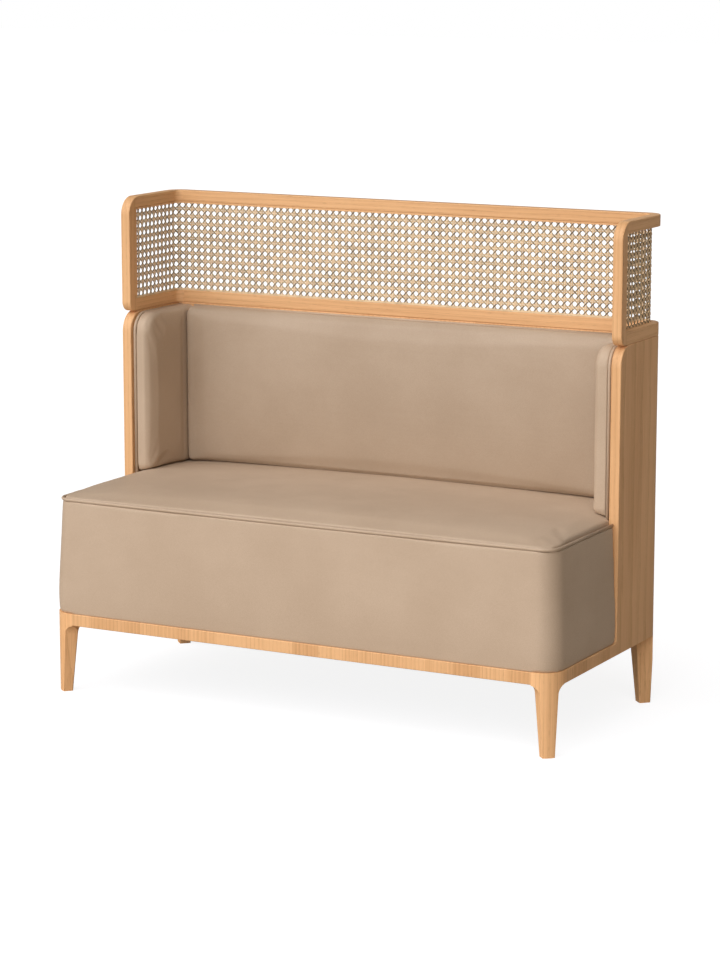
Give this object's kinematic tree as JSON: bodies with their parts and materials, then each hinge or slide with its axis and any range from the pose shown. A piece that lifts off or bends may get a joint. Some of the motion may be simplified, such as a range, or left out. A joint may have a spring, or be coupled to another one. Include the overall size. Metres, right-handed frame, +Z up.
{
  "type": "restaurant booth bench",
  "caption": "Upholstered booth bench on tapered wooden legs, with padded back and side wings, wooden outer panels and a U-shaped woven cane screen on top.",
  "frame": {"origin": "on the floor below the middle of the bench's overall box", "axes": "+X to the viewer's right when facing the front of the bench, the front faces -Y, +Z up"},
  "size_m": [1.2, 0.5345, 1.05],
  "materials": {
    "oak": "clear satin lacquer",
    "plywood": "raw",
    "leather": "smooth satin",
    "cane": "natural woven cane",
    "steel": "zinc plated",
    "dust_cloth": "matt"
  },
  "bodies": {
    "root": {"apron_front": "oak", "back_bottom_rail": "oak", "back_pad": "leather", "back_pad_board": "plywood", "back_pad_welt": "leather", "back_panel": "oak", "back_top_rail": "oak", "bead_bottom": "cane", "bead_front_left": "cane", "bead_front_right": "cane", "bead_top": "cane", "bearer_centre": "oak", "bearer_left": "oak", "bearer_right": "oak", "bottom_corner_left": "oak", "bottom_corner_right": "oak", "cane_back": "cane", "cane_left": "cane", "cane_right": "cane", "dowels": "plywood", "dust_cover": "dust_cloth", "hanger_bolts": "steel", "leg_front_left": "oak", "leg_front_right": "oak", "leg_rear_left": "oak", "leg_rear_right": "oak", "pad_clips": "steel", "rear_post_left": "oak", "rear_post_right": "oak", "rear_rail": "oak", "screws": "steel", "seat_band": "leather", "seat_cushion": "leather", "seat_deck": "plywood", "seat_former_left": "plywood", "seat_former_right": "plywood", "seat_front_board": "plywood", "seat_rear_board": "plywood", "seat_rib_left": "plywood", "seat_rib_right": "plywood", "seat_side_board_left": "plywood", "seat_side_board_right": "plywood", "seat_welt": "leather", "side_pad_board_left": "plywood", "side_pad_board_right": "plywood", "side_pad_left": "leather", "side_pad_right": "leather", "side_pad_welt_left": "leather", "side_pad_welt_right": "leather", "side_panel_left": "oak", "side_panel_right": "oak", "stile_left": "oak", "stile_right": "oak", "top_corner_left": "oak", "top_corner_right": "oak", "wing_bottom_rail_left": "oak", "wing_bottom_rail_right": "oak", "wing_top_rail_left": "oak", "wing_top_rail_right": "oak"}
  },
  "joints": []
}
